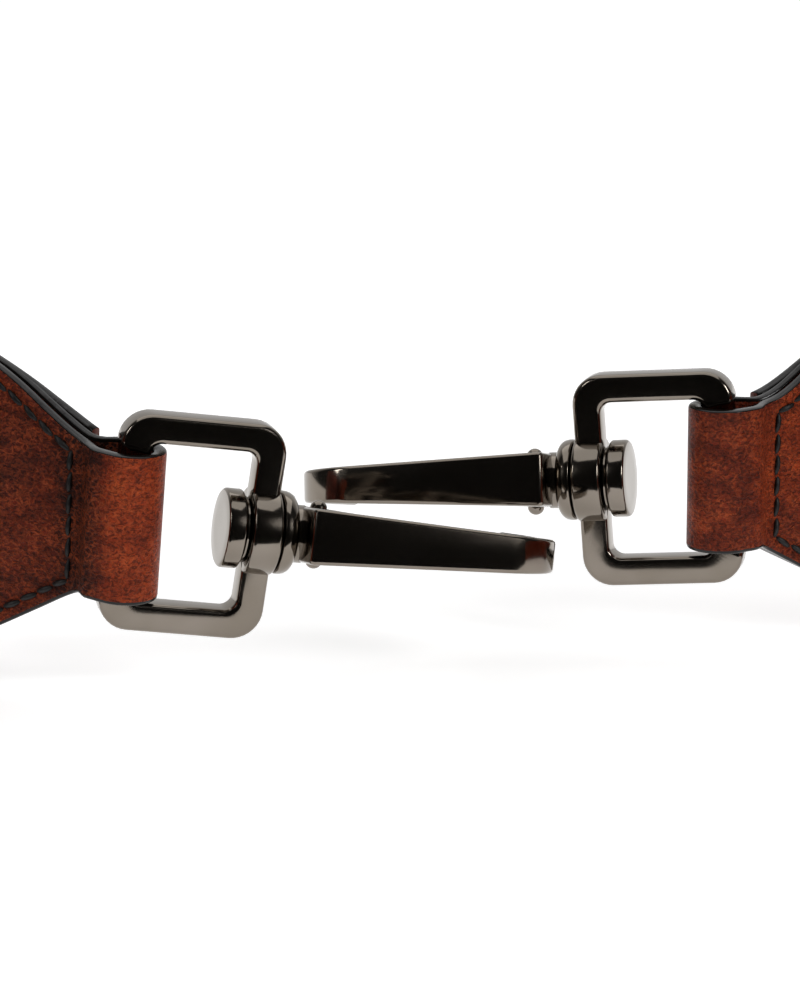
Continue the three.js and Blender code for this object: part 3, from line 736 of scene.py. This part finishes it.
def dark_nickel():
    """Zinc casting, polished and plated in black nickel (gunmetal). To the eye: a dark warm mirror, with
    a faint unevenness left by hand polishing."""
    material, place = new_material("polished_gunmetal")
    waves = add(material, "TexNoise", {"Vector": place, "Scale": 160.0, "Detail": 2.0})
    hairs = add(material, "TexNoise", {"Vector": place, "Scale": 5200.0, "Detail": 2.0})
    tint = ramp(material, waves.outputs["Fac"], [(0.3, "#7d756b"), (0.7, "#867e75")])
    gloss = add(material, "MapRange", {"Value": hairs.outputs["Fac"], "To Min": 0.07, "To Max": 0.16})
    bump = add(material, "Bump", {"Height": waves.outputs["Fac"], "Strength": 0.06, "Distance": 0.0003})
    metal = add(material, "BsdfPrincipled", {
        "Base Color": tint, "Metallic": 1.0, "Roughness": gloss.outputs[0], "Normal": bump.outputs[0],
    })
    return finish_material(material, metal)


GUNMETAL = dark_nickel()


def clasp_piece(name, side, swung, grids, body, node, material):
    """A metal piece in its clasp's place, riding on its body and standing for its CAD node."""
    piece = shell(name, [clasp_frame(side, swung)(grid) for grid in grids], sharp=SHARP_ANGLE)
    piece.data.materials.append(material)
    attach(piece, body)
    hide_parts(node)
    return piece


def rounded_step(at, radius, corner, towards):
    """A quarter circle of profile points that turns a corner of a lathe profile. Towards is 1 where the
    face looks along x and -1 where it looks back."""
    turn = np.radians(np.linspace(90, 0, 5) if towards > 0 else np.linspace(0, 90, 5))
    return [(at - towards * corner * (1 - np.cos(t)), radius - corner * (1 - np.sin(t))) for t in turn]


boss = lathe([
    (BOSS[0], SHANK_BORE), *rounded_step(BOSS[0], BOSS_RADIUS, 0.5, -1),
    *rounded_step(BOSS[1], BOSS_RADIUS, 0.5, 1), (BOSS[1], SHANK_BORE), (BOSS[0], SHANK_BORE),
])
for side in SIDES:
    clasp_piece(f"{side}_ring_polished", side, False, [ring_grid(), boss], f"{side}_ring",
                f"{side}_swivel_ring", GUNMETAL)

# ---- Swivel posts and washers -------------------------------------------------------------------
# A turned steel post with a broad flat head inside the ring. Its shank runs in the boss, over a thin
# washer, and its thin end is riveted into the hook's collar, so that the hook turns freely.

HEAD = (12.4, 14.7)
HEAD_RADIUS = 5.0
SHANK_RADIUS = 2.5
TENON_RADIUS = 1.5
TENON_END = 20.8
WASHER = (14.9, 15.3)
WASHER_RADIUS = 4.2

post = lathe([
    (HEAD[0], 0), (HEAD[0], 3.0), *rounded_step(HEAD[0], HEAD_RADIUS, 0.45, -1),
    *rounded_step(HEAD[1], HEAD_RADIUS, 0.3, 1), (HEAD[1], SHANK_RADIUS), (BOSS[1], SHANK_RADIUS),
    (BOSS[1], TENON_RADIUS), (TENON_END, TENON_RADIUS), (TENON_END, 0),
])
washer = lathe([
    (WASHER[0], SHANK_BORE), (WASHER[0], WASHER_RADIUS - 0.1), (WASHER[0] + 0.1, WASHER_RADIUS),
    (WASHER[1] - 0.1, WASHER_RADIUS), (WASHER[1], WASHER_RADIUS - 0.1), (WASHER[1], SHANK_BORE),
    (WASHER[0], SHANK_BORE),
])
for side in SIDES:
    clasp_piece(f"{side}_post_turned", side, True, [post], f"{side}_hook", f"{side}_swivel_post",
                GUNMETAL)
    clasp_piece(f"{side}_washer_thin", side, True, [washer], f"{side}_hook", f"{side}_swivel_washer",
                GUNMETAL)

# ---- Hook bodies --------------------------------------------------------------------------------
# A cast lobster hook, polished and plated like the ring: a round collar and neck, a forked base that
# holds the gate's pin, a flat tapering spine and a round nose that comes back to the gate.

COLLAR = (19.5, 21.6)
COLLAR_RADIUS = 5.25
COLLAR_ROUND = 1.4
NECK_RADIUS = 3.65
HOOK_START = 22.3
HOOK_DEPTH = 8.0
SPINE_THICKNESS = 3.0
NOSE_CENTRE = 47.8
NOSE_END_ANGLE = -66
HOOK_HALF_AT_START = 3.5
HOOK_HALF_AT_TIP = 2.1
BASE_END = 27.8
BASE_BOTTOM = -6.6
FORK_HALF_WIDTH = 2.25
FORK_START = 23.9
FORK_TOP = -1.5
HOOK_BEVEL = 0.5
TENON_HOLE = (21.1, 1.8)
CHEEK_BEVEL = 0.35
SHY = 0.02


def flat(level):
    """A face of a plate that is level everywhere."""
    return lambda x: np.full(len(x), float(level))


def arc(centre, radius, start, end, steps):
    """Points of a circle's arc between two angles in degrees."""
    turn = np.radians(np.linspace(start, end, steps))
    return np.stack([centre[0] + radius * np.cos(turn), centre[1] + radius * np.sin(turn)], 1)


def plate(outline, low, high, bevel):
    """A plate from a side view, with rounded rims. Each ring is the outline moved in square to itself
    by bevel (1 - sin t), at a level bevel (1 - cos t) inside the face, for t from 0 to 90 degrees. Low
    and high are functions of x, so that the plate may taper."""
    outline = np.concatenate([np.atleast_2d(part) for part in outline])
    before, after = np.roll(outline, 1, 0), np.roll(outline, -1, 0)
    into = [(b - a) / np.linalg.norm(b - a, axis=1, keepdims=True)
            for a, b in ((before, outline), (outline, after))]
    normal = sum(np.stack([-w[:, 1], w[:, 0]], 1) for w in into)
    area = np.sum(outline[:, 0] * after[:, 1] - after[:, 0] * outline[:, 1])
    normal *= np.sign(area) * 2 / np.sum(normal * normal, 1, keepdims=True)
    rings = []
    for t, at in [(t, low) for t in (0, 30, 60, 90)] + [(t, high) for t in (90, 60, 30, 0)]:
        moved = outline + normal * bevel * (1 - np.sin(np.radians(t)))
        sink = bevel * (1 - np.cos(np.radians(t)))
        level = at(moved[:, 0]) + (sink if at is low else -sink)
        rings.append(np.column_stack([moved, level]))
    return np.array(rings)


def hook_half(x):
    """The hook's half width: a straight taper from its base to its tip."""
    return np.interp(x, [HOOK_START, NOSE_CENTRE + HOOK_DEPTH], [HOOK_HALF_AT_START, HOOK_HALF_AT_TIP])


def hook_grids():
    """The collar, the plate of base, spine and nose above the fork, and the fork's two cheeks."""
    inner = HOOK_DEPTH - SPINE_THICKNESS
    side_view = [
        (HOOK_START, FORK_TOP), (FORK_START, FORK_TOP), (BASE_END, FORK_TOP), (BASE_END, inner - 2),
        arc((BASE_END + 2, inner - 2), 2, 180, 90, 8)[1:],
        arc((NOSE_CENTRE, 0), inner, 90, NOSE_END_ANGLE, 26),
        arc((NOSE_CENTRE, 0), HOOK_DEPTH, NOSE_END_ANGLE, 90, 34),
        arc((HOOK_START + 0.8, HOOK_DEPTH - 0.8), 0.8, 90, 180, 5),
    ]
    back_wall = [
        (FORK_START, FORK_TOP + 0.8), (HOOK_START + SHY, FORK_TOP + 0.8),
        arc((HOOK_START + 1 + SHY, BASE_BOTTOM + 1), 1, 180, 270, 6), (FORK_START, BASE_BOTTOM),
    ]
    cheek = [
        (HOOK_START + SHY, FORK_TOP + 0.9), arc((HOOK_START + 1 + SHY, BASE_BOTTOM + 1), 1, 180, 270, 6),
        arc((BASE_END - 1.5, BASE_BOTTOM + 1.5), 1.5, 270, 360, 8), (BASE_END, FORK_TOP + 0.9),
    ]
    collar = lathe([
        (TENON_HOLE[0], 0), TENON_HOLE, (COLLAR[0], TENON_HOLE[1]),
        *rounded_step(COLLAR[0], COLLAR_RADIUS, 0.3, -1),
        *rounded_step(COLLAR[1], COLLAR_RADIUS, COLLAR_ROUND, 1), (COLLAR[1], NECK_RADIUS),
        (HOOK_START + 0.6, NECK_RADIUS), (HOOK_START + 0.6, 0),
    ])
    cheeks = [
        plate(cheek, lambda x: -hook_half(x) + SHY, flat(-FORK_HALF_WIDTH), CHEEK_BEVEL),
        plate(cheek, flat(FORK_HALF_WIDTH), lambda x: hook_half(x) - SHY, CHEEK_BEVEL),
    ]
    wall = plate(back_wall, flat(-FORK_HALF_WIDTH - 0.3), flat(FORK_HALF_WIDTH + 0.3), 0.1)
    return [collar, plate(side_view, lambda x: -hook_half(x), hook_half, HOOK_BEVEL), *cheeks, wall]


for side in SIDES:
    clasp_piece(f"{side}_hook_polished", side, True, hook_grids(), f"{side}_hook", f"{side}_hook_body",
                GUNMETAL)

# ---- Gates, pins and springs --------------------------------------------------------------------
# The gate is a small casting that turns on a steel pin through the fork. A torsion spring of steel
# wire, coiled round the pin between the gate's two ears, holds it shut inside the nose.

PIN_AT = (25.9, -4.3)
PIN_RADIUS = 0.75
PIN_HEAD_RADIUS = 1.1
PIN_HEAD = (3.3, 4.35)
GATE_HALF_WIDTH = 1.9
GATE_ROOT_RADIUS = 1.7
GATE_BOTTOM = -6.0
EAR_INNER = 0.95
EAR_END = 29.0
SPRING_RADIUS = 1.27
SPRING_WIRE = 0.22
SPRING_TURNS = 2
SPRING_PITCH = 0.5
SPRING_LEG = 1.3


def gate_grids():
    """The gate's bar with its thumb tab and tongue, and the two ears round the pin."""
    top = PIN_AT[1] + GATE_ROOT_RADIUS
    bar = [
        (EAR_END, GATE_BOTTOM), (42.0, GATE_BOTTOM), (43.2, -7.7), (44.6, -8.3), (47.4, -8.6),
        (48.5, -8.2), (48.7, -4.6), (49.3, -3.8), (50.6, -3.8), (50.6, -3.0), (49.8, top),
        (EAR_END, top),
    ]
    ear = [arc(PIN_AT, GATE_ROOT_RADIUS, 90, 270, 12), (EAR_END + 0.8, GATE_BOTTOM + SHY),
           (EAR_END + 0.8, top - SHY)]
    return [
        plate(bar, flat(-GATE_HALF_WIDTH), flat(GATE_HALF_WIDTH), 0.3),
        plate(ear, flat(-GATE_HALF_WIDTH + SHY), flat(-EAR_INNER), 0.2),
        plate(ear, flat(EAR_INNER), flat(GATE_HALF_WIDTH - SHY), 0.2),
    ]


def pin_grid():
    """The pin along z: a plain shank with a domed head at each end, set as a lathe on its side."""
    dome = [(PIN_HEAD[0] + (PIN_HEAD[1] - PIN_HEAD[0]) * np.sin(t), PIN_HEAD_RADIUS * np.cos(t))
            for t in np.radians(np.linspace(0, 90, 7))]
    half = [(PIN_HEAD[0], PIN_RADIUS), *dome]
    turned = lathe([(-at, radius) for at, radius in half][::-1] + half, 24)
    return np.stack([turned[..., 2] + PIN_AT[0], turned[..., 1] + PIN_AT[1], -turned[..., 0]], -1)


def spring_grid():
    """Round wire carried along a helix round the pin, with a straight leg off each end."""
    coil = 2 * np.pi * SPRING_RADIUS * SPRING_TURNS
    run = np.linspace(0, coil + 2 * SPRING_LEG, 90) - SPRING_LEG
    wound = np.clip(run, 0, coil)
    leg = run - wound
    turn = np.pi / 2 + wound / SPRING_RADIUS
    centre = np.stack([
        PIN_AT[0] + SPRING_RADIUS * np.cos(turn) - leg * np.sin(turn),
        PIN_AT[1] + SPRING_RADIUS * np.sin(turn) + leg * np.cos(turn),
        SPRING_PITCH * SPRING_TURNS * (wound / coil - 0.5),
    ], 1)
    out = np.stack([np.cos(turn), np.sin(turn), 0 * turn], 1)[:, None, :]
    ring = np.linspace(0, 2 * np.pi, 11)[:-1][None, :, None]
    return centre[:, None, :] + SPRING_WIRE * (out * np.cos(ring) + np.array([0, 0, 1]) * np.sin(ring))


def spring_wire():
    """Hard-drawn spring steel wire. To the eye: a bright grey with fine draw marks."""
    material, place = new_material("spring_wire")
    marks = add(material, "TexNoise", {"Vector": place, "Scale": 3000.0})
    tint = ramp(material, marks.outputs["Fac"], [(0.3, "#8f8f90"), (0.7, "#b4b3b2")])
    gloss = add(material, "MapRange", {"Value": marks.outputs["Fac"], "To Min": 0.22, "To Max": 0.36})
    metal = add(material, "BsdfPrincipled", {
        "Base Color": tint, "Metallic": 1.0, "Roughness": gloss.outputs[0],
    })
    return finish_material(material, metal)


WIRE = spring_wire()
for side in SIDES:
    clasp_piece(f"{side}_gate_polished", side, True, gate_grids(), f"{side}_gate", f"{side}_gate",
                GUNMETAL)
    clasp_piece(f"{side}_pin_domed", side, True, [pin_grid()], f"{side}_hook", f"{side}_gate_pin",
                GUNMETAL)
    clasp_piece(f"{side}_spring_wound", side, True, [spring_grid()], f"{side}_hook",
                f"{side}_gate_spring", WIRE)

# ---- Floor, light and camera --------------------------------------------------------------------
# A plain white floor lit from above, with a softbox on each side. The camera's side is dark, and a
# black flag that only mirrors see stands before the clasps, so that the plated metal mirrors black
# where it faces the camera and white where it looks down. Sizes here are in metres.

CAMERA_DISTANCE = 0.6
CAMERA_ELEVATION = 13.5
CAMERA_LENS = 213.3
AIM_BELOW_HINGES = (0.00377, -0.002255, 0.001005)
FLOOR_SIZE = 6.0
FLAG_BEFORE = 0.06
FLAG_WIDTH = 0.24
FLAG_TOP = 0.17
FLAG_GAP = 0.0005


def white_floor():
    """White acrylic sheet, sanded matt and lit from below. To the eye: plain white without shadows."""
    material, place = new_material("matt_acrylic")
    drift = add(material, "TexNoise", {"Vector": place, "Scale": 3.0})
    tint = ramp(material, drift.outputs["Fac"], [(0.3, "#f4f4f4"), (0.7, "#f7f7f7")])
    board = add(material, "BsdfPrincipled", {
        "Base Color": tint, "Roughness": 0.9, "Emission Color": (1, 1, 1, 1),
        "Emission Strength": 0.5,
    })
    return finish_material(material, board)


def stage_card(name, corners, material):
    """A flat card of four corners that belongs to the stage, not to the part."""
    mesh = bpy.data.meshes.new(name)
    mesh.from_pydata(corners, [], [(0, 1, 2, 3)])
    mesh.materials.append(material)
    card = bpy.data.objects.new(name, mesh)
    bpy.context.scene.collection.objects.link(card)
    return card


ground = cad_box[0][2]
square = [(x * FLOOR_SIZE / 2, y * FLOOR_SIZE / 2) for x, y in ((-1, -1), (1, -1), (1, 1), (-1, 1))]
stage_card("floor", [(x, y, ground) for x, y in square], white_floor())

hinges = [Vector(joint(f"{side}_ring_hinge")["pos_m"]) for side in SIDES]
aim = (hinges[0] + hinges[1]) / 2 - Vector(AIM_BELOW_HINGES)


def place_facing(thing, place, target):
    """Puts a lamp or camera at a place, looking at a target with its top up."""
    thing.location = place
    thing.rotation_euler = (target - place).to_track_quat("-Z", "Y").to_euler()
    bpy.context.scene.collection.objects.link(thing)


def softbox(name, azimuth, elevation, distance, size, power):
    """A square lamp at a bearing from the clasps, where azimuth 0 is the camera's side."""
    lamp = bpy.data.lights.new(name, "AREA")
    lamp.size = size
    lamp.energy = power
    a, e = np.radians((azimuth, elevation))
    away = Vector((np.sin(a) * np.cos(e), -np.cos(a) * np.cos(e), np.sin(e)))
    place_facing(bpy.data.objects.new(name, lamp), aim + away * distance, aim)


softbox("top_softbox", azimuth=180, elevation=80, distance=2.4, size=3.0, power=27)
softbox("left_softbox", azimuth=-58, elevation=30, distance=1.2, size=0.4, power=3.5)
softbox("right_softbox", azimuth=52, elevation=26, distance=1.2, size=0.4, power=6)


def black_velvet():
    """Black velvet over card. To the eye: no light at all, with a trace of nap."""
    material, place = new_material("black_velvet")
    nap = add(material, "TexNoise", {"Vector": place, "Scale": 800.0})
    tint = ramp(material, nap.outputs["Fac"], [(0.3, "#050505"), (0.7, "#0c0c0c")])
    cloth = add(material, "BsdfPrincipled", {"Base Color": tint, "Roughness": 1.0})
    return finish_material(material, cloth)


foot = ground + FLAG_GAP
flag = stage_card("flag", [
    (aim.x + x * FLAG_WIDTH / 2, aim.y - FLAG_BEFORE, z)
    for x, z in ((-1, foot), (1, foot), (1, FLAG_TOP), (-1, FLAG_TOP))
], black_velvet())
flag.visible_camera = False
flag.visible_diffuse = False
flag.visible_shadow = False

e = np.radians(CAMERA_ELEVATION)
camera = bpy.data.objects.new("camera", bpy.data.cameras.new("camera"))
camera.data.sensor_fit = "HORIZONTAL"
camera.data.sensor_width = 36.0
camera.data.lens = CAMERA_LENS
camera.data.clip_start = 0.01
place_facing(camera, aim + Vector((0, -np.cos(e), np.sin(e))) * CAMERA_DISTANCE, aim)
bpy.context.scene.camera = camera
bpy.context.scene.view_settings.view_transform = "Standard"

world = bpy.data.worlds.new("studio")
world.use_nodes = True
world.node_tree.nodes.clear()
heading = add(world, "TexCoord", {}).outputs["Generated"]
parts = add(world, "SeparateXYZ", {"Vector": heading})
lit = add(world, "MapRange", {"Value": parts.outputs["Y"], "From Min": 0.2, "From Max": 0.75,
                              "To Min": 0.03, "To Max": 0.7})
sky = add(world, "Background", {"Color": (1, 1, 1, 1), "Strength": lit.outputs[0]})
add(world, "OutputWorld", {"Surface": sky.outputs[0]})
bpy.context.scene.world = world
